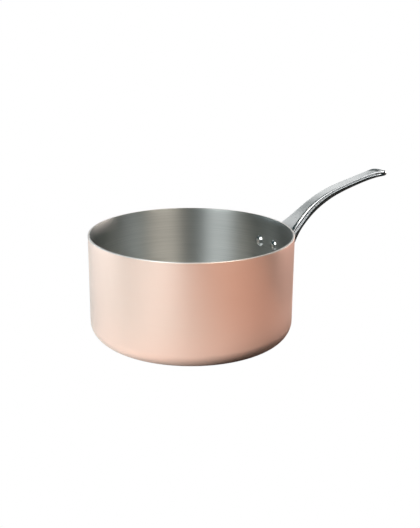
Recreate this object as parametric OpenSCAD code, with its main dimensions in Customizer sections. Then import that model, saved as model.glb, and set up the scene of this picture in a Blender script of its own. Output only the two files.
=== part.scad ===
// Copper saucepan: a straight-sided copper pan with a steel lining and a riveted cast handle.
// Millimetres. The origin is the centre of the base on the surface that the pan stands on,
// +Z is up and the handle points along +X.

/* [Pan] */
// Inside diameter of the pan
pan_inner_d = 200; // [160:5:240]
// Height from the standing surface to the rim
pan_height = 104.5; // [90:0.5:140]
// Thickness of the copper
copper_wall = 1.7; // [1.2:0.1:2.5]
// Thickness of the steel lining
lining_wall = 0.3; // [0.2:0.1:0.6]
// Radius of the outside corner between the wall and the base
corner_r = 16.5; // [8:0.5:24]
// Rounding of the outer edge of the rim
rim_round = 0.5; // [0.2:0.1:0.8]

/* [Handle] */
// Distance from the pan wall to the tip of the handle
handle_reach = 178; // [150:1:210]
// Steepness of the neck, as rise over run
neck_slope = 0.68; // [0.62:0.01:0.74]
// Steepness of the grip, as rise over run
grip_slope = 0.175; // [0.14:0.005:0.24]
// Width of the root of the neck, just inside the wall
root_w = 52; // [48:1:54]
// Width of the grip at its near end
grip_w = 12.4; // [11:0.2:15]
// Width of the grip at its far end
slim_w = 10.4; // [9:0.2:13]
// Width of the flared tip
tip_w = 17.2; // [15:0.2:20]
// Depth of the root, from top to underside
root_t = 23; // [21:0.5:24]
// Depth of the neck
neck_t = 11.2; // [10:0.2:12]
// Depth of the grip
grip_t = 7.4; // [6.6:0.2:8.6]
// Depth of the tip
tip_t = 5.7; // [5:0.1:6.4]
// Scale of the width of the grip about its natural width
grip_scale = 1; // [0.9:0.05:1.3]
// Depth of the groove that runs along both sides of the grip
groove_depth = 1; // [0.5:0.1:1.5]
// Radius of the hanging eye near the tip
eye_r = 3; // [2:0.25:4]

/* [Flange and rivets] */
// Width of the flange that sits against the wall
flange_w = 56; // [52:1:64]
// Height of the flange
flange_h = 32; // [30:1:36]
// Thickness of the flange
flange_t = 4; // [3:0.5:5]
// Distance from the rim down to the rivets
rivet_drop = 28; // [26:0.5:30]
// Angle of each rivet either side of the handle, seen from above
rivet_angle = 6.5; // [6:0.25:8]
// Radius of the rivet shank
shank_r = 2.75; // [2:0.25:3]
// Radius of the domed head inside the pan
head_r = 5.75; // [4:0.25:6.5]
// Height of the domed head
head_h = 3; // [2:0.25:3.5]
// Radius of the closed head outside
tail_r = 4; // [3:0.25:4.5]
// Height of the closed head
tail_h = 2; // [1.5:0.25:2.5]

/* [Hidden] */
$fn = 128;

inner_r = pan_inner_d / 2;
bond_r = inner_r + lining_wall;
outer_r = bond_r + copper_wall;
bond_corner = corner_r - copper_wall;
lining_corner = bond_corner - lining_wall;
rivet_z = pan_height - rivet_drop;
flange_r = outer_r + flange_t;
flange_corner = 9;
over = 1;

// Where each change along the handle starts and ends, in distances from the wall: the neck turns
// up, the handle levels out into the grip, and the tip droops.
turn_up = [8, 24];
level_out = [47, 92];
droop = [155, 175];
droop_slope = 0.4;
root_at = -7;
root_drop = 20;

// The neck narrows over its whole length, faster near the wall. The grip slims and the tip flares.
neck_length = 70;
neck_curve = 1.85;
slimming = [80, 150];
flare = [148, 166];

// The root thins into the neck and the neck into the grip, and the tip thins from tip_from on.
root_thins = [4, 26];
neck_thins = [45, 115];
tip_from = 160;

// The hollow under the neck leaves a skin and closes along the neck. The tip is dished.
skin = 3.4;
hollow_closes = [15, 66];
dish_from = 157;
dish_depth = 1.8;

// Height of the bevel along the grip, and what it gains in the neck, at the root and at the tip.
bevel = 0.9;
neck_bevel = 1.8;
neck_bevel_fades = [45, 80];
root_bevel = 1.3;
root_bevel_fades = [-7, 25];
tip_bevel = 1.4;
tip_bevel_grows = [156, 170];

// A smooth step from 0 to 1 over a range, and the rise of a line that turns up over a range.
function ease(x, range) =
    let (t = min(1, max(0, (x - range[0]) / (range[1] - range[0])))) t * t * (3 - 2 * t);
function bend(x, range) =
    x <= range[0] ? 0
    : x < range[1] ? pow(x - range[0], 2) / (2 * (range[1] - range[0]))
    : x - (range[0] + range[1]) / 2;

// The handle at a distance from the wall.
function rise(x) =
    neck_slope * bend(x, turn_up) - (neck_slope - grip_slope) * bend(x, level_out)
    - droop_slope * bend(x, droop) - root_drop;
function half_width(x) =
    let (
        near = (root_w - grip_w) / 2 * pow(max(0, 1 - (x - root_at) / neck_length), neck_curve),
        grip = grip_w / 2 - (grip_w - slim_w) / 2 * ease(x, slimming))
    near + grip + (tip_w - slim_w) / 2 * ease(x, flare);
function depth(x) =
    grip_t + (neck_t - grip_t) * (1 - ease(x, neck_thins))
    + (root_t - neck_t) * (1 - ease(x, root_thins))
    - (grip_t - tip_t) * pow(max(0, (x - tip_from) / (natural_reach - tip_from)), 2);
function hollow(x) = (depth(x) - skin) * (1 - ease(x, hollow_closes));
function bevel_height(x) =
    bevel + neck_bevel * (1 - ease(x, neck_bevel_fades))
    + root_bevel * (1 - ease(x, root_bevel_fades)) + tip_bevel * ease(x, tip_bevel_grows);
function dish(x) =
    dish_depth * sin(180 * max(0, (x - dish_from) / (natural_reach - dish_from)));

// The handle's sections stand closer together where it turns, over its natural reach.
natural_reach = 178;
reach_k = handle_reach / natural_reach;
places = [root_at, 8, 16, 28, 43, 61, 88, 120, 150, 164, 171, natural_reach];
stations = [
    for (x = places) [x, rise(x), half_width(x), depth(x), bevel_height(x), hollow(x), dish(x)]];
spans = len(stations) - 1;

// The eye's place along the stations, the rings per span, the rounding of the tip in plan
// and across its thickness, how far from the tip the groove ends, and over what length it fades.
eye_s = 9.3;
rings_per_span = 4;
end_round = 8;
edge_round = 2.6;
groove_end = 8;
groove_fade = 14;
neck_cap = [1, 0, 0, 0, 0, stations[0][5], 0];

// A uniform cubic spline through the stations, mirrored past both ends.
function row(i) =
    i < 0 ? 2 * stations[0] - stations[1]
    : i > spans ? 2 * stations[spans] - stations[spans - 1]
    : stations[i];
function cubic(a, b, c, d, u) =
    (pow(1 - u, 3) * a + (3 * pow(u, 3) - 6 * u * u + 4) * b
    + (-3 * pow(u, 3) + 3 * u * u + 3 * u + 1) * c + pow(u, 3) * d) / 6;
function station(s) =
    let (i = min(floor(s), spans - 1))
    cubic(row(i - 1), row(i), row(i + 1), row(i + 2), s - i);

// The top of a station in the frame of the pan, and the slope of the handle there.
function top_point(q) = [
    outer_r + q[0] * reach_k, 0, pan_height + q[1]];
function slope(s) =
    let (a = top_point(station(max(s - 0.01, 0))), b = top_point(station(min(s + 0.01, spans))))
    atan2(b[2] - a[2], b[0] - a[0]);
function round_off(gap, size) = gap >= size ? 1 : sqrt(max(0.02, 1 - pow(1 - gap / size, 2)));

// Right half of the handle's cross-section: u is across, v is down from the top face.
// A bevel leans out from the edge of the top face, and a groove runs below it.
// Where the neck is hollow below, its two side skirts are skirt_t thick.
skirt_t = 3;
full_hollow = 9;
function half_section(a, depth, bevel, hollow, dish, fade) =
    let (
        groove = a - fade * min(groove_depth, 0.35 * a), top = min(bevel, 0.35 * depth),
        cut = min(0.7 + 0.8 * top, 0.25 * depth), lean = 0.06 * a + 0.3 * max(0, top - 0.9),
        open = min(1, hollow / full_hollow),
        lip = (1 - open) * 0.72 * a + open * (a - 0.45 * skirt_t),
        inside = (1 - open) * 0.45 * a + open * (a - skirt_t))
    [
        [0, dish], [0.55 * a, 0.75 * dish], [a - lean, 0.02], [a - lean / 2, top / 2], [a, top],
        [groove, top + 0.2 * cut], [groove, top + 0.8 * cut], [a - 0.1, top + cut + 0.7],
        [a, depth - min(1.8, 0.25 * depth)], [lip, depth], [inside, depth - 0.95 * hollow],
        [0.75 * inside, depth - hollow], [0, depth - hollow]
    ];
function whole(half) = concat(
    half, [for (i = [len(half) - 2:-1:1]) [-half[i][0], half[i][1]]]);

// A closed quadratic spline that touches the middle of each side of the polygon.
function smooth(p, k) = [
    for (i = [0:len(p) - 1]) for (j = [0:k - 1])
        let (
            a = (p[(i + len(p) - 1) % len(p)] + p[i]) / 2,
            c = (p[i] + p[(i + 1) % len(p)]) / 2,
            u = j / k)
        (1 - u) * (1 - u) * a + 2 * u * (1 - u) * p[i] + u * u * c];

// One ring of points around the handle, from its station and its slope there.
function ring(q, tilt) =
    let (
        gap = (natural_reach - q[0]) * reach_k, wide = round_off(gap, end_round),
        thick = round_off(gap, edge_round), mid = q[3] / 2,
        fade = max(0, min(1, (gap - groove_end) / groove_fade)),
        half = half_section(q[2] * grip_scale * wide, q[3], q[4], q[5], q[6], fade))
    [for (p = smooth(whole(half), 2)) let (v = mid + (p[1] - mid) * thick)
        top_point(q) + [v * sin(tilt), p[0], -v * cos(tilt)]];
function middle(r) = [for (k = [0:2]) (min([for (p = r) p[k]]) + max([for (p = r) p[k]])) / 2];

// Steps along the stations, closer together over the rounded tip.
tip_steps = 2 * rings_per_span;
steps = concat(
    [for (i = [0:(spans - 1) * rings_per_span - 1]) i / rings_per_span],
    [for (i = [0:tip_steps]) spans - 1 + sin(90 * i / tip_steps)]);

module cup(r, floor_z, corner, top) {
    square_w = r - corner;
    translate([0, floor_z]) square([square_w, top - floor_z]);
    translate([0, floor_z + corner]) square([r, top - floor_z - corner]);
    translate([square_w, floor_z + corner]) circle(corner);
}

// Places a child at a distance from the pan's centre along the axis of one rivet.
module on_rivet(side, distance) {
    rotate([0, 0, side * rivet_angle])
        translate([distance, 0, rivet_z]) children();
}

module rivet_bar(side, r, near, far) {
    on_rivet(side, near) rotate([0, 90, 0]) cylinder(r = r, h = far - near);
}

module rivet_holes(near, far) {
    for (side = [-1, 1]) rivet_bar(side, shank_r, near, far);
}

module copper_shell() {
    color([0.86, 0.61, 0.52]) difference() {
        rotate_extrude() difference() {
            cup(outer_r, 0, corner_r, pan_height);
            cup(bond_r, copper_wall, bond_corner, pan_height + over);
            translate([outer_r - rim_round, pan_height - rim_round]) difference() {
                square(2 * rim_round);
                circle(rim_round);
            }
        }
        rivet_holes(inner_r - 5, outer_r + 5);
    }
}

module steel_lining() {
    color([0.62, 0.62, 0.6]) difference() {
        rotate_extrude() difference() {
            cup(bond_r, copper_wall, bond_corner, pan_height);
            cup(inner_r, copper_wall + lining_wall, lining_corner, pan_height + over);
        }
        rivet_holes(inner_r - 5, outer_r + 5);
    }
}

module flange_outline() {
    square([flange_w - 2 * flange_corner, flange_h], center = true);
    square([flange_w, flange_h - 2 * flange_corner], center = true);
    for (side = [-1, 1]) for (end = [-1, 1])
        translate([side * (flange_w / 2 - flange_corner), end * (flange_h / 2 - flange_corner)])
            circle(flange_corner);
}

module flange() {
    intersection() {
        cylinder(r = flange_r, h = pan_height);
        translate([outer_r - 10, 0, rivet_z])
            rotate([90, 0, 90]) linear_extrude(20) flange_outline();
    }
}

// The bar of the handle. Its first ring has no hollow, so both ends close from a middle point.
module grip() {
    rings = concat(
        [ring(station(0) - neck_cap, slope(0))],
        [for (s = steps) ring(station(s), slope(s))]);
    n = len(rings[0]);
    m = len(rings);
    points = concat(
        [for (r = rings) for (p = r) p],
        [middle(rings[0]), middle(rings[m - 1])]);
    sides = [
        for (i = [0:m - 2]) for (j = [0:n - 1])
            let (a = i * n + j, b = i * n + (j + 1) % n)
            for (tri = [[a, b, a + n], [b, b + n, a + n]]) tri];
    near_cap = [for (j = [0:n - 1]) [m * n, (j + 1) % n, j]];
    tip_cap = [
        for (j = [0:n - 1]) [m * n + 1, (m - 1) * n + j, (m - 1) * n + (j + 1) % n]];
    polyhedron(points, concat(sides, near_cap, tip_cap));
}

// The hanging eye is bored square to the top face.
module eye() {
    translate(top_point(station(eye_s)))
        rotate([0, -slope(eye_s), 0]) cylinder(r = eye_r, h = 40, center = true);
}

module handle() {
    color([0.74, 0.74, 0.75]) difference() {
        union() {
            grip();
            flange();
        }
        cylinder(r = outer_r, h = 3 * pan_height, center = true);
        rivet_holes(inner_r, flange_r + 5);
        eye();
    }
}

// Radius of the sphere that has a cap of radius r and height h.
function dome_r(r, h) = (r * r + h * h) / (2 * h);

module rivet(side) {
    head_ball = dome_r(head_r, head_h);
    tail_ball = dome_r(tail_r, tail_h);
    color([0.78, 0.78, 0.79]) {
        intersection() {
            on_rivet(side, inner_r - head_h + head_ball) sphere(head_ball);
            cylinder(r = inner_r, h = pan_height);
        }
        rivet_bar(side, shank_r, inner_r - 1, flange_r + 1);
        difference() {
            on_rivet(side, flange_r + tail_h - tail_ball) sphere(tail_ball);
            cylinder(r = flange_r, h = pan_height);
        }
    }
}

module rivet_left() {
    rivet(1);
}

module rivet_right() {
    rivet(-1);
}

copper_shell();
steel_lining();
handle();
rivet_left();
rivet_right();
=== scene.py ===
"""The looks of a copper saucepan: lathed copper and steel walls, a swept cast handle, rivets and a studio.

Every piece is in metres, in the frame of the CAD model: the origin is the centre of the base on the
surface that the pan stands on, +Z is up and the handle points along +X.
"""
import math

import bpy
from mathutils import Matrix, Vector


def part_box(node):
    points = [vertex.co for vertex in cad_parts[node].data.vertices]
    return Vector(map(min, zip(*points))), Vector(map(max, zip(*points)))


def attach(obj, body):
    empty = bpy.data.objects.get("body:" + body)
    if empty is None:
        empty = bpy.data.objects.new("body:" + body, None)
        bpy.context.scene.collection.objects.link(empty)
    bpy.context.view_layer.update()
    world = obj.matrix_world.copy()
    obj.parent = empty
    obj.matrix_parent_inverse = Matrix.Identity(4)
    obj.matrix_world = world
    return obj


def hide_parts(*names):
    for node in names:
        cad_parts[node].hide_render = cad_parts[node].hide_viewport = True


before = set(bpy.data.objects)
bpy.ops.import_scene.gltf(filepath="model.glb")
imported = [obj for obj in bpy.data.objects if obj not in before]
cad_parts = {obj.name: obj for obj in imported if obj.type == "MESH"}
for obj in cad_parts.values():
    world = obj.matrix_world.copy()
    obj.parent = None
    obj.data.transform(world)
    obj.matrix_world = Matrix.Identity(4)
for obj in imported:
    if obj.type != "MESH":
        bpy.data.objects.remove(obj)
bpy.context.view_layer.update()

MM = 0.001

# Pan: its height and the copper's thickness come from the frame, the rest repeats the CAD model
PAN_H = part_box("copper_shell")[1][2]
COPPER_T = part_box("steel_lining")[0][2]
LINING_T = 0.3 * MM
INNER_R = 100 * MM
BOND_R = INNER_R + LINING_T
OUTER_R = BOND_R + COPPER_T
CORNER_R = 16.5 * MM
RIM_ROUND = 0.5 * MM
LINING_ROUND = 0.12 * MM

# Handle and rivets, as in the CAD model
FLANGE_T = 4 * MM
FLANGE_W = 56 * MM
FLANGE_H = 32 * MM
FLANGE_CORNER = 9 * MM
FLANGE_R = OUTER_R + FLANGE_T
FLANGE_EDGE = 1.3 * MM
RIVET_Z = PAN_H - 28 * MM
RIVET_ANGLE = math.radians(6.5)
SHANK_R = 2.75 * MM
HEAD_R = 5.75 * MM
HEAD_H = 3 * MM
TAIL_R = 4 * MM
TAIL_H = 2 * MM
EYE_R = 3 * MM
EYE_STATION = 9.3
GROOVE = 1 * MM
GROOVE_END = 8 * MM
GROOVE_FADE = 14 * MM
SKIRT_T = 3 * MM
FULL_HOLLOW = 9 * MM
END_ROUND = 8 * MM
EDGE_ROUND = 2.6 * MM

# The handle's widths and depths, in millimetres, and its slopes, as rise over run
REACH = 178
NECK_SLOPE, GRIP_SLOPE, DROOP_SLOPE = 0.68, 0.175, 0.4
ROOT_W, GRIP_W, SLIM_W, TIP_W = 52, 12.4, 10.4, 17.2
ROOT_T, NECK_T, GRIP_T, TIP_T = 23, 11.2, 7.4, 5.7
ROOT_AT, ROOT_DROP = -7, 20
NECK_LENGTH, NECK_CURVE = 70, 1.85
SKIN = 3.4
TIP_FROM, DISH_FROM, DISH_DEPTH = 160, 157, 1.8
BEVEL, NECK_BEVEL, ROOT_BEVEL, TIP_BEVEL = 0.9, 1.8, 1.3, 1.4

# Where each change along the handle starts and ends, in millimetres from the wall
TURN_UP, LEVEL_OUT, DROOP = (8, 24), (47, 92), (155, 175)
SLIMMING, FLARE = (80, 150), (148, 166)
ROOT_THINS, NECK_THINS, HOLLOW_CLOSES = (4, 26), (45, 115), (15, 66)
NECK_BEVEL_FADES, ROOT_BEVEL_FADES, TIP_BEVEL_GROWS = (45, 80), (-7, 25), (156, 170)

# Where the sections stand, closer together where the handle turns
PLACES = (ROOT_AT, 8, 16, 28, 43, 61, 88, 120, 150, 164, 171, REACH)
SPANS = len(PLACES) - 1

LATHE_STEPS = 288
RIVET_STEPS = 72
WALL_STEPS = 720


# ---------------------------------------------------------------- meshes


def new_object(name, verts, faces):
    mesh = bpy.data.meshes.new(name)
    mesh.from_pydata([tuple(v) for v in verts], [], faces)
    mesh.update()
    mesh.polygons.foreach_set("use_smooth", [True] * len(mesh.polygons))
    obj = bpy.data.objects.new(name, mesh)
    bpy.context.scene.collection.objects.link(obj)
    return obj


def line(start, end, count):
    """Points from start up to but not including end."""
    return [tuple(a + (b - a) * i / count for a, b in zip(start, end)) for i in range(count)]


def arc(centre, radius, first, last, count):
    """Points on an arc between two angles in degrees, without the last one."""
    points = []
    for i in range(count):
        t = math.radians(first + (last - first) * i / count)
        points.append((centre[0] + radius * math.cos(t), centre[1] + radius * math.sin(t)))
    return points


def lathe(name, profile, steps=LATHE_STEPS):
    """Turns a profile of (radius, height) points, from the axis to the axis, about Z."""
    verts = [(0, 0, profile[0][1])]
    for radius, height in profile[1:-1]:
        for i in range(steps):
            t = 2 * math.pi * i / steps
            verts.append((radius * math.cos(t), radius * math.sin(t), height))
    verts.append((0, 0, profile[-1][1]))
    last = len(verts) - 1
    rows = len(profile) - 2
    faces = []
    for i in range(steps):
        j = (i + 1) % steps
        faces.append((0, 1 + j, 1 + i))
        for k in range(rows - 1):
            a = 1 + k * steps
            faces.append((a + i, a + j, a + steps + j, a + steps + i))
        a = 1 + (rows - 1) * steps
        faces.append((a + i, a + j, last))
    return new_object(name, verts, faces)


# ---------------------------------------------------------------- pan


def copper_profile():
    inner_corner = CORNER_R - COPPER_T
    floor_edge = OUTER_R - CORNER_R
    return (
        line((0, 0), (floor_edge, 0), 10)
        + arc((floor_edge, CORNER_R), CORNER_R, -90, 0, 24)
        + line((OUTER_R, CORNER_R), (OUTER_R, PAN_H - RIM_ROUND), 18)
        + arc((OUTER_R - RIM_ROUND, PAN_H - RIM_ROUND), RIM_ROUND, 0, 90, 8)
        + line((OUTER_R - RIM_ROUND, PAN_H), (BOND_R, PAN_H), 3)
        + line((BOND_R, PAN_H), (BOND_R, COPPER_T + inner_corner), 18)
        + arc((BOND_R - inner_corner, COPPER_T + inner_corner), inner_corner, 0, -90, 24)
        + line((BOND_R - inner_corner, COPPER_T), (0, COPPER_T), 10)
        + [(0, COPPER_T)]
    )


def lining_profile():
    outer_corner = CORNER_R - COPPER_T
    inner_corner = outer_corner - LINING_T
    floor = COPPER_T + LINING_T
    edge = LINING_ROUND
    return (
        line((0, COPPER_T), (BOND_R - outer_corner, COPPER_T), 10)
        + arc((BOND_R - outer_corner, COPPER_T + outer_corner), outer_corner, -90, 0, 24)
        + line((BOND_R, COPPER_T + outer_corner), (BOND_R, PAN_H), 18)
        + line((BOND_R, PAN_H), (INNER_R + edge, PAN_H), 2)
        + arc((INNER_R + edge, PAN_H - edge), edge, 90, 180, 5)
        + line((INNER_R, PAN_H - edge), (INNER_R, floor + inner_corner), 18)
        + arc((INNER_R - inner_corner, floor + inner_corner), inner_corner, 0, -90, 24)
        + line((INNER_R - inner_corner, floor), (0, floor), 10)
        + [(0, floor)]
    )


# ---------------------------------------------------------------- handle


def ease(x, span):
    """A smooth step from 0 to 1 over a span."""
    t = min(1, max(0, (x - span[0]) / (span[1] - span[0])))
    return t * t * (3 - 2 * t)


def bend(x, span):
    """The rise of a line that turns up over a span."""
    if x <= span[0]:
        return 0
    if x < span[1]:
        return (x - span[0]) ** 2 / (2 * (span[1] - span[0]))
    return x - (span[0] + span[1]) / 2


def section_at(x):
    """Distance, height, half width, depth, bevel, hollow and dish of the handle, in millimetres."""
    rise = NECK_SLOPE * bend(x, TURN_UP) - (NECK_SLOPE - GRIP_SLOPE) * bend(x, LEVEL_OUT)
    rise -= DROOP_SLOPE * bend(x, DROOP) + ROOT_DROP
    half_width = (ROOT_W - GRIP_W) / 2 * max(0, 1 - (x - ROOT_AT) / NECK_LENGTH) ** NECK_CURVE
    half_width += GRIP_W / 2 - (GRIP_W - SLIM_W) / 2 * ease(x, SLIMMING)
    half_width += (TIP_W - SLIM_W) / 2 * ease(x, FLARE)
    depth = GRIP_T + (NECK_T - GRIP_T) * (1 - ease(x, NECK_THINS))
    depth += (ROOT_T - NECK_T) * (1 - ease(x, ROOT_THINS))
    depth -= (GRIP_T - TIP_T) * max(0, (x - TIP_FROM) / (REACH - TIP_FROM)) ** 2
    bevel = BEVEL + NECK_BEVEL * (1 - ease(x, NECK_BEVEL_FADES))
    bevel += ROOT_BEVEL * (1 - ease(x, ROOT_BEVEL_FADES)) + TIP_BEVEL * ease(x, TIP_BEVEL_GROWS)
    hollow = (depth - SKIN) * (1 - ease(x, HOLLOW_CLOSES))
    dish = DISH_DEPTH * math.sin(math.pi * max(0, (x - DISH_FROM) / (REACH - DISH_FROM)))
    return (x, rise, half_width, depth, bevel, hollow, dish)


STATIONS = [section_at(x) for x in PLACES]


def row(i):
    if i < 0:
        return [2 * a - b for a, b in zip(STATIONS[0], STATIONS[1])]
    if i > SPANS:
        return [2 * a - b for a, b in zip(STATIONS[SPANS], STATIONS[SPANS - 1])]
    return STATIONS[i]


def station(s):
    """The handle's section at s, in metres, on a uniform cubic B-spline with STATIONS as control rows."""
    i = min(int(math.floor(s)), SPANS - 1)
    u = s - i
    weights = (
        (1 - u) ** 3 / 6,
        (3 * u**3 - 6 * u * u + 4) / 6,
        (-3 * u**3 + 3 * u * u + 3 * u + 1) / 6,
        u**3 / 6,
    )
    rows = [row(i + k) for k in (-1, 0, 1, 2)]
    return [MM * sum(w * r[k] for w, r in zip(weights, rows)) for k in range(len(STATIONS[0]))]


def top_point(q):
    return Vector((OUTER_R + q[0], 0, PAN_H + q[1]))


def slope(s):
    run = top_point(station(min(s + 0.01, SPANS))) - top_point(station(max(s - 0.01, 0)))
    return math.atan2(run.z, run.x)


def round_off(gap, size):
    return 1 if gap >= size else math.sqrt(max(0.0006, 1 - (1 - gap / size) ** 2))


def half_section(a, depth, bevel, hollow, dish, fade):
    """Right half of the cross-section as control points: u is across and v is down from the top."""
    groove = a - fade * min(GROOVE, 0.35 * a)
    top = min(bevel, 0.35 * depth)
    cut = min(0.7 * MM + 0.8 * top, 0.25 * depth)
    lean = 0.06 * a + 0.3 * max(0, top - 0.9 * MM)
    opened = min(1, hollow / FULL_HOLLOW)
    lip = (1 - opened) * 0.72 * a + opened * (a - 0.45 * SKIRT_T)
    inside = (1 - opened) * 0.45 * a + opened * (a - SKIRT_T)
    return [
        (0, dish),
        (0.55 * a, 0.75 * dish),
        (a - lean, 0.02 * MM),
        (a - lean / 2, top / 2),
        (a, top),
        (groove, top + 0.2 * cut),
        (groove, top + 0.8 * cut),
        (a - 0.1 * MM, top + cut + 0.7 * MM),
        (a, depth - min(1.8 * MM, 0.25 * depth)),
        (lip, depth),
        (inside, depth - 0.95 * hollow),
        (0.75 * inside, depth - hollow),
        (0, depth - hollow),
    ]


SIDE_SAMPLES = 6


def smooth_loop(points, count):
    """A closed quadratic spline that touches the middle of each side of the polygon."""
    out = []
    for i, (pu, pv) in enumerate(points):
        au, av = points[i - 1]
        cu, cv = points[(i + 1) % len(points)]
        for j in range(count):
            t = j / count
            w0, w1, w2 = (1 - t) ** 2 / 2, 2 * t * (1 - t), t * t / 2
            u = w0 * (au + pu) + w1 * pu + w2 * (pu + cu)
            v = w0 * (av + pv) + w1 * pv + w2 * (pv + cv)
            out.append((u, v))
    return out


def ring(q, tilt):
    gap = STATIONS[SPANS][0] * MM - q[0]
    wide = round_off(gap, END_ROUND)
    thick = round_off(gap, EDGE_ROUND)
    fade = max(0, min(1, (gap - GROOVE_END) / GROOVE_FADE))
    half = half_section(q[2] * wide, *q[3:], fade)
    whole = half + [(-u, v) for u, v in half[-2:0:-1]]
    mid = q[3] / 2
    top = top_point(q)
    points = []
    for u, v in smooth_loop(whole, SIDE_SAMPLES):
        v = mid + (v - mid) * thick
        points.append(top + Vector((v * math.sin(tilt), u, -v * math.cos(tilt))))
    return points


def grip_mesh():
    """The bar of the handle, closed at both ends, with the top face marked as material 1."""
    per_span, tip_steps = 12, 40
    steps = [i / per_span for i in range((SPANS - 1) * per_span)]
    steps += [SPANS - 1 + math.sin(math.pi / 2 * i / tip_steps) for i in range(tip_steps + 1)]
    start = station(0)
    start[0] -= 1 * MM
    start[5] = 0
    rings = [ring(start, slope(0))] + [ring(station(s), slope(s)) for s in steps]
    n, m = len(rings[0]), len(rings)
    verts = [p for r in rings for p in r]
    verts += [sum(r, Vector()) / n for r in (rings[0], rings[-1])]
    faces = []
    for i in range(m - 1):
        for j in range(n):
            a, b = i * n + j, i * n + (j + 1) % n
            faces.append((a, b, b + n, a + n))
    faces += [(m * n, (j + 1) % n, j) for j in range(n)]
    faces += [(m * n + 1, (m - 1) * n + j, (m - 1) * n + (j + 1) % n) for j in range(n)]
    grip = new_object("grip", verts, faces)
    top_end = 2.4 * SIDE_SAMPLES
    for k, face in enumerate(grip.data.polygons):
        j = k % n
        on_top = k < (m - 1) * n and (j < top_end or j >= n - top_end + SIDE_SAMPLES)
        face.material_index = 1 if on_top else 0
    return grip


def flange_mesh():
    """A plate with rounded corners, bent round the wall. It runs into the wall and is cut there."""
    corner_steps, edge_steps, inner_steps = 12, 6, 14
    verts, faces = [], []

    def outline(inset):
        """A rounded rectangle, inset from the flange's own, as (across, up) points."""
        corner = FLANGE_CORNER - inset
        across, up = FLANGE_W / 2 - FLANGE_CORNER, FLANGE_H / 2 - FLANGE_CORNER
        points = []
        for quarter, (sa, su) in enumerate(((1, 1), (-1, 1), (-1, -1), (1, -1))):
            start = (sa * across, su * up)
            turns = [math.pi / 2 * (quarter + k / corner_steps) for k in range(corner_steps + 1)]
            points += [(start[0] + corner * math.cos(t), start[1] + corner * math.sin(t)) for t in turns]
            end = ((-across, up), (-across, -up), (across, -up), (across, up))[quarter]
            last = points[-1]
            shift = (end[0] - start[0], end[1] - start[1])
            points += [(last[0] + shift[0] * k / 8, last[1] + shift[1] * k / 8) for k in range(1, 8)]
        return points

    def place(point, radius):
        angle = point[0] / OUTER_R
        verts.append((radius * math.cos(angle), radius * math.sin(angle), RIVET_Z + point[1]))

    turns = [math.pi / 2 * k / edge_steps for k in range(edge_steps + 1)]
    rings = [(outline(0), OUTER_R - 2 * MM)]
    rings += [
        (outline(FLANGE_EDGE * (1 - math.cos(t))), FLANGE_R - FLANGE_EDGE * (1 - math.sin(t))) for t in turns
    ]
    flat = outline(FLANGE_EDGE)
    for k in range(1, inner_steps):
        rings.append(([(u * (1 - k / inner_steps), v * (1 - k / inner_steps)) for u, v in flat], FLANGE_R))
    for points, radius in rings:
        for point in points:
            place(point, radius)
    count = len(flat)
    for i in range(len(rings) - 1):
        for j in range(count):
            a, b = i * count + j, i * count + (j + 1) % count
            faces.append((a, b, b + count, a + count))
    place((0, 0), FLANGE_R)
    last = (len(rings) - 1) * count
    faces += [(last + j, last + (j + 1) % count, len(verts) - 1) for j in range(count)]
    place((0, 0), OUTER_R - 2 * MM)
    faces += [((j + 1) % count, j, len(verts) - 1) for j in range(count)]
    return new_object("flange", verts, faces)


def cutter(name, radius, start, end, steps=96):
    """A closed cylinder between two points, to cut with."""
    axis = end - start
    turn = axis.to_track_quat("Z", "Y").to_matrix()
    verts = []
    for along in (0, 1):
        for i in range(steps):
            t = 2 * math.pi * i / steps
            spoke = Vector((radius * math.cos(t), radius * math.sin(t), 0))
            verts.append(start + axis * along + turn @ spoke)
    faces = [tuple(range(steps))[::-1], tuple(range(steps, 2 * steps))]
    for i in range(steps):
        j = (i + 1) % steps
        faces.append((i, j, steps + j, steps + i))
    return new_object(name, verts, faces)


def combine(target, tool, operation):
    mod = target.modifiers.new(operation, "BOOLEAN")
    mod.operation = operation
    mod.object = tool
    mod.solver = "EXACT"
    mod.material_mode = "TRANSFER"
    bpy.context.view_layer.objects.active = target
    with bpy.context.temp_override(object=target, active_object=target, selected_objects=[target]):
        bpy.ops.object.modifier_apply(modifier=mod.name)
    bpy.data.objects.remove(tool)


def eye_axis():
    """A point on the axis of the hanging eye and its direction."""
    tilt = slope(EYE_STATION)
    return top_point(station(EYE_STATION)), Vector((-math.sin(tilt), 0, math.cos(tilt)))


def handle_mesh(polished, satin):
    handle = grip_mesh()
    handle.name = "cast_handle"
    handle.data.name = "cast_handle"
    flange = flange_mesh()
    handle.data.materials.append(polished)
    handle.data.materials.append(satin)
    flange.data.materials.append(polished)
    combine(handle, flange, "UNION")
    wall = cutter("wall", OUTER_R, Vector((0, 0, 0)), Vector((0, 0, 2 * PAN_H)), WALL_STEPS)
    combine(handle, wall, "DIFFERENCE")
    point, up = eye_axis()
    combine(handle, cutter("eye", EYE_R, point - 20 * MM * up, point + 20 * MM * up), "DIFFERENCE")
    handle.data.polygons.foreach_set("use_smooth", [True] * len(handle.data.polygons))
    handle.data.set_sharp_from_angle(angle=math.radians(38))
    return handle


# ---------------------------------------------------------------- rivets


def cap(radius, height, base, direction, count):
    """Points of a shallow dome from its edge to just short of its top, as (radius, along)."""
    ball = (radius**2 + height**2) / (2 * height)
    widest = math.asin(min(1, radius / ball))
    points = []
    for i in range(count):
        t = widest * (1 - i / count)
        points.append((ball * math.sin(t), base + direction * (height - ball + ball * math.cos(t))))
    return points


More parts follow.
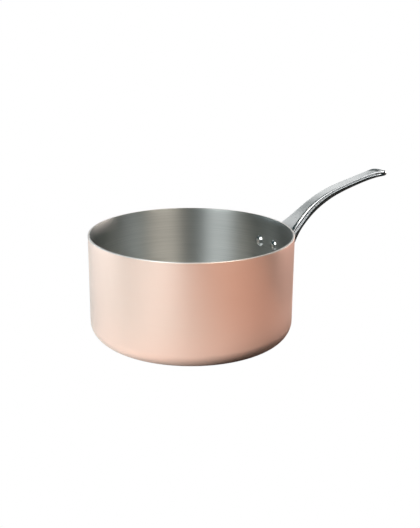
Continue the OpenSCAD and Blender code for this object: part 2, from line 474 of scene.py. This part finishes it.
def rivet_mesh(name, side):
    """Domed head inside the pan, shank through the walls and flange, closed head outside."""
    sink = 0.4 * MM
    head = cap(HEAD_R, HEAD_H - 0.5 * MM, INNER_R - 0.5 * MM, -1, 20)
    tail = cap(TAIL_R, TAIL_H - 0.3 * MM, FLANGE_R + 0.3 * MM, 1, 16)
    profile = [(0, INNER_R - HEAD_H)] + head[::-1]
    profile += arc((HEAD_R - 0.25 * MM, INNER_R - 0.35 * MM), 0.25 * MM, -20, 60, 4)
    profile += [(HEAD_R - 0.1 * MM, INNER_R + sink), (SHANK_R, INNER_R + sink)]
    profile += line((SHANK_R, INNER_R + 1 * MM), (SHANK_R, FLANGE_R - sink), 5)
    profile += [(SHANK_R, FLANGE_R - sink), (TAIL_R - 0.1 * MM, FLANGE_R - sink)]
    profile += tail
    profile.append((0, FLANGE_R + TAIL_H))
    rivet = lathe(name, profile, RIVET_STEPS)
    turn = Matrix.Rotation(side * RIVET_ANGLE, 4, "Z") @ Matrix.Rotation(math.pi / 2, 4, "Y")
    rivet.data.transform(Matrix.Translation((0, 0, RIVET_Z)) @ turn)
    rivet.data.set_sharp_from_angle(angle=math.radians(40))
    return rivet


# ---------------------------------------------------------------- materials


class Nodes:
    """Short-hand for building one material's node tree."""

    def __init__(self, name):
        self.material = bpy.data.materials.new(name)
        self.material.use_nodes = True
        self.tree = self.material.node_tree
        self.tree.nodes.clear()
        self.out = self.add("ShaderNodeOutputMaterial")

    def add(self, kind, inputs=None, **settings):
        node = self.tree.nodes.new(kind)
        for key, value in settings.items():
            setattr(node, key, value)
        for key, value in (inputs or {}).items():
            if isinstance(value, bpy.types.NodeSocket):
                self.tree.links.new(value, node.inputs[key])
            else:
                node.inputs[key].default_value = value
        return node

    def math(self, operation, a, b=0.0):
        return self.add("ShaderNodeMath", {0: a, 1: b}, operation=operation).outputs[0]

    def combine(self, x, y, z):
        return self.add("ShaderNodeCombineXYZ", {0: x, 1: y, 2: z}).outputs[0]

    def noise(self, vector, scale, detail=2.0, roughness=0.5):
        inputs = {"Vector": vector, "Scale": scale, "Detail": detail, "Roughness": roughness}
        return self.add("ShaderNodeTexNoise", inputs).outputs["Fac"]

    def spread(self, value, low, high, to_low, to_high):
        inputs = {"Value": value, "From Min": low, "From Max": high, "To Min": to_low, "To Max": to_high}
        return self.add("ShaderNodeMapRange", inputs).outputs[0]

    def mix(self, factor, a, b):
        node = self.add("ShaderNodeMix", data_type="RGBA")
        for socket, value in zip((node.inputs[0], node.inputs[6], node.inputs[7]), (factor, a, b)):
            if isinstance(value, bpy.types.NodeSocket):
                self.tree.links.new(value, socket)
            else:
                socket.default_value = value
        return node.outputs[2]

    def bump(self, height, strength, distance):
        inputs = {"Height": height, "Strength": strength, "Distance": distance}
        return self.add("ShaderNodeBump", inputs).outputs["Normal"]

    def finish(self, inputs):
        shader = self.add("ShaderNodeBsdfPrincipled", inputs)
        self.tree.links.new(shader.outputs[0], self.out.inputs["Surface"])
        return self.material


def turned_coordinates(n, across, along):
    """Coordinates whose noise makes streaks round the pan: slow in x and y, fast in radius plus height."""
    place = n.add("ShaderNodeTexCoord").outputs["Object"]
    parts = n.add("ShaderNodeSeparateXYZ", {0: place}).outputs
    x, y, z = parts[0], parts[1], parts[2]
    radius = n.math("SQRT", n.math("ADD", n.math("MULTIPLY", x, x), n.math("MULTIPLY", y, y)))
    run = n.math("MULTIPLY", n.math("ADD", radius, z), across)
    return n.combine(n.math("MULTIPLY", x, along), n.math("MULTIPLY", y, along), run)


def copper_material():
    n = Nodes("brushed_copper")
    fine = n.noise(turned_coordinates(n, 2600, 22), 1.0, 3, 0.6)
    broad = n.noise(turned_coordinates(n, 420, 9), 1.0, 2, 0.5)
    place = n.add("ShaderNodeTexCoord").outputs["Object"]
    cloud = n.noise(place, 16, 2, 0.5)
    tint = n.mix(n.spread(cloud, 0.3, 0.7, 0, 1), (0.94, 0.65, 0.55, 1), (0.93, 0.66, 0.56, 1))
    colour = n.mix(n.spread(fine, 0.35, 0.75, 0, 0.2), tint, (0.97, 0.75, 0.66, 1))
    height_up = n.add("ShaderNodeSeparateXYZ", {0: place}).outputs[2]
    on_rim = n.spread(height_up, PAN_H - 0.7 * MM, PAN_H - 0.3 * MM, 0, 1)
    colour = n.mix(on_rim, colour, (0.9, 0.84, 0.8, 1))
    rough = n.math("ADD", n.spread(fine, 0.3, 0.7, 0.41, 0.47), n.spread(broad, 0.3, 0.7, -0.015, 0.015))
    height = n.math("ADD", fine, n.math("MULTIPLY", broad, 0.6))
    return n.finish(
        {
            "Base Color": colour,
            "Metallic": 1.0,
            "Roughness": rough,
            "Anisotropic": 0.4,
            "Anisotropic Rotation": 0.25,
            "Tangent": n.add("ShaderNodeTangent", direction_type="RADIAL", axis="Z").outputs[0],
            "Normal": n.bump(height, 0.08, 0.00012),
        }
    )


def lining_material():
    n = Nodes("brushed_lining")
    fine = n.noise(turned_coordinates(n, 2400, 14), 1.0, 3, 0.6)
    broad = n.noise(turned_coordinates(n, 700, 9), 1.0, 2, 0.5)
    colour = n.mix(n.spread(fine, 0.3, 0.7, 0, 1), (0.43, 0.445, 0.44, 1), (0.53, 0.54, 0.53, 1))
    rough = n.math("ADD", n.spread(fine, 0.3, 0.7, 0.38, 0.46), n.spread(broad, 0.3, 0.7, -0.02, 0.02))
    height = n.math("ADD", fine, n.math("MULTIPLY", broad, 0.5))
    return n.finish(
        {
            "Base Color": colour,
            "Metallic": 1.0,
            "Roughness": rough,
            "Anisotropic": 0.85,
            "Anisotropic Rotation": 0.25,
            "Tangent": n.add("ShaderNodeTangent", direction_type="RADIAL", axis="Z").outputs[0],
            "Normal": n.bump(height, 0.08, 0.0001),
        }
    )


def steel_material(name, colour, rough, spread):
    """Cast steel finished along its length."""
    n = Nodes(name)
    place = n.add("ShaderNodeTexCoord").outputs["Object"]
    parts = n.add("ShaderNodeSeparateXYZ", {0: place}).outputs
    stretched = [n.math("MULTIPLY", part, scale) for part, scale in zip(parts, (60, 1800, 60))]
    grain = n.noise(n.combine(*stretched), 1.0, 3, 0.6)
    cloud = n.noise(place, 60, 2, 0.5)
    darker = tuple(c * 0.93 for c in colour[:3]) + (1,)
    tone = n.mix(n.spread(grain, 0.3, 0.7, 0, 1), darker, colour)
    fine = n.spread(grain, 0.3, 0.7, rough - spread, rough + spread)
    roughness = n.math("ADD", fine, n.spread(cloud, 0.3, 0.7, -0.02, 0.02))
    return n.finish({"Base Color": tone, "Metallic": 1.0, "Roughness": roughness})


# ---------------------------------------------------------------- studio

CAMERA_DISTANCE = 0.870
CAMERA_ELEVATION = math.radians(15.42)
CAMERA_AZIMUTH = math.radians(-36.6)
AIM_RIGHT = math.radians(1.27)
AIM_DOWN = math.radians(17.48)
AIM_ROLL = math.radians(0.485)
CAMERA_LENS = 59.83

# The floor lies just below the base, so that the two faces don't coincide
FLOOR_GAP = 0.3 * MM


def studio_turn():
    """From a frame in which the camera looks along +Y to the pan's own frame."""
    return Matrix.Rotation(CAMERA_AZIMUTH, 3, "Z")


def make_camera():
    data = bpy.data.cameras.new("camera")
    data.lens = CAMERA_LENS
    data.sensor_width = 36
    data.sensor_fit = "AUTO"
    data.clip_start = 0.01
    data.clip_end = 50
    camera = bpy.data.objects.new("camera", data)
    bpy.context.scene.collection.objects.link(camera)
    back = Vector((0, -math.cos(CAMERA_ELEVATION), math.sin(CAMERA_ELEVATION)))
    level_run = math.cos(AIM_DOWN)
    sight = (math.sin(AIM_RIGHT) * level_run, math.cos(AIM_RIGHT) * level_run, -math.sin(AIM_DOWN))
    forward = Vector(sight)
    right = forward.cross(Vector((0, 0, 1))).normalized()
    up = right.cross(forward)
    c, s = math.cos(AIM_ROLL), math.sin(AIM_ROLL)
    level = Matrix((c * right + s * up, -s * right + c * up, -forward)).transposed()
    turn = studio_turn()
    viewpoint = Vector((0, 0, PAN_H)) + turn @ (back * CAMERA_DISTANCE)
    camera.matrix_world = Matrix.Translation(viewpoint) @ (turn @ level).to_4x4()
    bpy.context.scene.camera = camera
    return camera


def panel(name, size, place, target, power, colour=(1, 1, 1)):
    """A soft light at a place, seen from the camera's side: x right, y away from the camera, z up."""
    data = bpy.data.lights.new(name, "AREA")
    data.shape = "RECTANGLE"
    data.size, data.size_y = size
    data.energy = power
    data.color = colour
    lamp = bpy.data.objects.new(name, data)
    bpy.context.scene.collection.objects.link(lamp)
    turn = studio_turn()
    start, end = turn @ Vector(place), turn @ Vector(target)
    lamp.location = start
    lamp.rotation_mode = "QUATERNION"
    lamp.rotation_quaternion = (end - start).to_track_quat("-Z", "Y")
    lamp.visible_camera = False
    return lamp


def make_floor():
    """Plain white to the camera. Reflections see painted light and shade on it: pale paper that turns warm
    and darker, a painted glow, a painted dark patch and a painted contact shadow.
    """
    half = 3.0
    corners = [(-half, -half, 0), (half, -half, 0), (half, half, 0), (-half, half, 0)]
    floor = new_object("studio_floor", corners, [(0, 1, 2, 3)])
    floor.matrix_world = Matrix.Translation((0, 0, -FLOOR_GAP)) @ studio_turn().to_4x4()
    n = Nodes("studio_floor")
    place = n.add("ShaderNodeTexCoord").outputs["Object"]
    parts = n.add("ShaderNodeSeparateXYZ", {0: place}).outputs

    def distance(x, y):
        across = n.math("POWER", n.math("ADD", parts[0], -x), 2)
        return n.math("SQRT", n.math("ADD", across, n.math("POWER", n.math("ADD", parts[1], -y), 2)))

    # Painted light and shade: towards one side the floor turns warm and darker, and its painted glow turns
    # from bluish to warm.
    painted_warm_falloff = n.spread(n.math("ADD", parts[0], n.math("MULTIPLY", parts[1], -0.25)), -0.06, 0.2, 0, 1)
    # Painted shade: a dark patch on the floor to one side, seen dark in reflections.
    near_edge = n.math("ADD", parts[1], n.math("MULTIPLY", parts[0], 0.45))
    painted_dark_patch = n.math("MULTIPLY", n.spread(parts[0], 0.13, 0.2, 0, 1), n.spread(near_edge, 0.06, 0.12, 0, 1))
    # Painted shadow: the floor is dark under and close round the pan's base.
    painted_contact_shadow = n.spread(distance(0.036, 0.0), 0.09, 0.13, 1, 0)
    # The painted dark patch and the painted contact shadow together are painted shade that turns the floor
    # near black.
    dark = n.math("MAXIMUM", painted_dark_patch, painted_contact_shadow)
    paper_with_painted_shade = n.mix(painted_warm_falloff, (0.8, 0.84, 0.86, 1), (0.36, 0.23, 0.19, 1))
    paper_with_painted_shade = n.mix(dark, paper_with_painted_shade, (0.03, 0.03, 0.03, 1))
    # Painted light: the floor glows though it is no lamp, bluish on one side and warm on the other, and not
    # at all in the painted shade.
    glow = n.mix(painted_warm_falloff, (0.0, 0.12, 0.16, 1), (0.12, 0.08, 0.06, 1))
    glow = n.mix(dark, glow, (0, 0, 0, 1))
    seen = n.add("ShaderNodeLightPath").outputs["Is Camera Ray"]
    white = n.add("ShaderNodeEmission", {"Color": (1, 1, 1, 1), "Strength": 1.0}).outputs[0]
    paper = n.add("ShaderNodeBsdfDiffuse", {"Color": paper_with_painted_shade}).outputs[0]
    lit = n.add("ShaderNodeEmission", {"Color": glow, "Strength": 1.0}).outputs[0]
    paper = n.add("ShaderNodeAddShader", {0: paper, 1: lit}).outputs[0]
    mixed = n.add("ShaderNodeMixShader", {0: seen, 1: paper, 2: white}).outputs[0]
    n.tree.links.new(mixed, n.out.inputs["Surface"])
    floor.data.materials.append(n.material)
    return floor


def make_world():
    world = bpy.data.worlds.new("studio")
    bpy.context.scene.world = world
    world.use_nodes = True
    tree = world.node_tree
    tree.nodes.clear()
    out = tree.nodes.new("ShaderNodeOutputWorld")
    seen = tree.nodes.new("ShaderNodeLightPath").outputs["Is Camera Ray"]
    white = tree.nodes.new("ShaderNodeBackground")
    white.inputs["Color"].default_value = (1, 1, 1, 1)
    room = tree.nodes.new("ShaderNodeBackground")
    room.inputs["Color"].default_value = (0.35, 0.95, 1.0, 1)
    room.inputs["Strength"].default_value = 0.045
    mix = tree.nodes.new("ShaderNodeMixShader")
    tree.links.new(seen, mix.inputs[0])
    tree.links.new(room.outputs[0], mix.inputs[1])
    tree.links.new(white.outputs[0], mix.inputs[2])
    tree.links.new(mix.outputs[0], out.inputs["Surface"])


def make_lights():
    panel("front_left", (0.8, 0.7), (-0.7, -0.9, 1.0), (0, 0, 0.05), 16.8, (0.96, 1.0, 1.0))
    panel("front_right", (0.85, 0.7), (0.66, -0.8, 1.0), (0, 0, 0.05), 14.5, (1.0, 0.89, 0.77))
    panel("side_left", (1.2, 0.15), (-1.1, 0.35, 0.08), (0, 0, 0.05), 2.6, (0.85, 1.0, 1.07))
    panel("side_right", (0.5, 0.2), (1.1, -0.1, 0.45), (0.2, 0.1, 0.12), 0.75)
    panel("back_right", (1.1, 0.2), (1.14, 0.78, 0.16), (0, 0, 0.1), 6.8, (0.98, 0.83, 0.77))
    panel("back", (1.3, 0.6), (-0.05, 1.5, 1.0), (0.1, 0, 0.1), 2.7)
    panel("back_left", (0.45, 0.6), (-0.68, 0.78, 1.0), (0.1, 0.1, 0.1), 1.3)
    panel("backdrop", (2.6, 0.35), (0, 1.6, 0.33), (0, 0, 0.1), 2.0)


# ---------------------------------------------------------------- build

scene = bpy.context.scene
make_camera()

copper = copper_material()
lining = lining_material()
polished = steel_material("polished_steel", (0.72, 0.72, 0.73, 1), 0.14, 0.02)
satin = steel_material("satin_steel", (0.80, 0.80, 0.80, 1), 0.3, 0.03)
rivet_steel = steel_material("rivet_steel", (0.80, 0.80, 0.80, 1), 0.2, 0.02)

shell_piece = lathe("copper_body", copper_profile())
shell_piece.data.materials.append(copper)
lining_piece = lathe("steel_inside", lining_profile())
lining_piece.data.materials.append(lining)
handle_piece = handle_mesh(polished, satin)
rivet_pieces = [rivet_mesh("rivet_head_left", 1), rivet_mesh("rivet_head_right", -1)]
for piece in rivet_pieces:
    piece.data.materials.append(rivet_steel)

for piece, node, slot in (
    (shell_piece, "copper_shell", "copper"),
    (lining_piece, "steel_lining", "lining"),
    (handle_piece, "handle", "handle_steel"),
    (rivet_pieces[0], "rivet_left", "rivet_steel"),
    (rivet_pieces[1], "rivet_right", "rivet_steel"),
):
    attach(piece, "root")
    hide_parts(node)

make_floor()
make_world()
make_lights()
scene.view_settings.view_transform = "Standard"
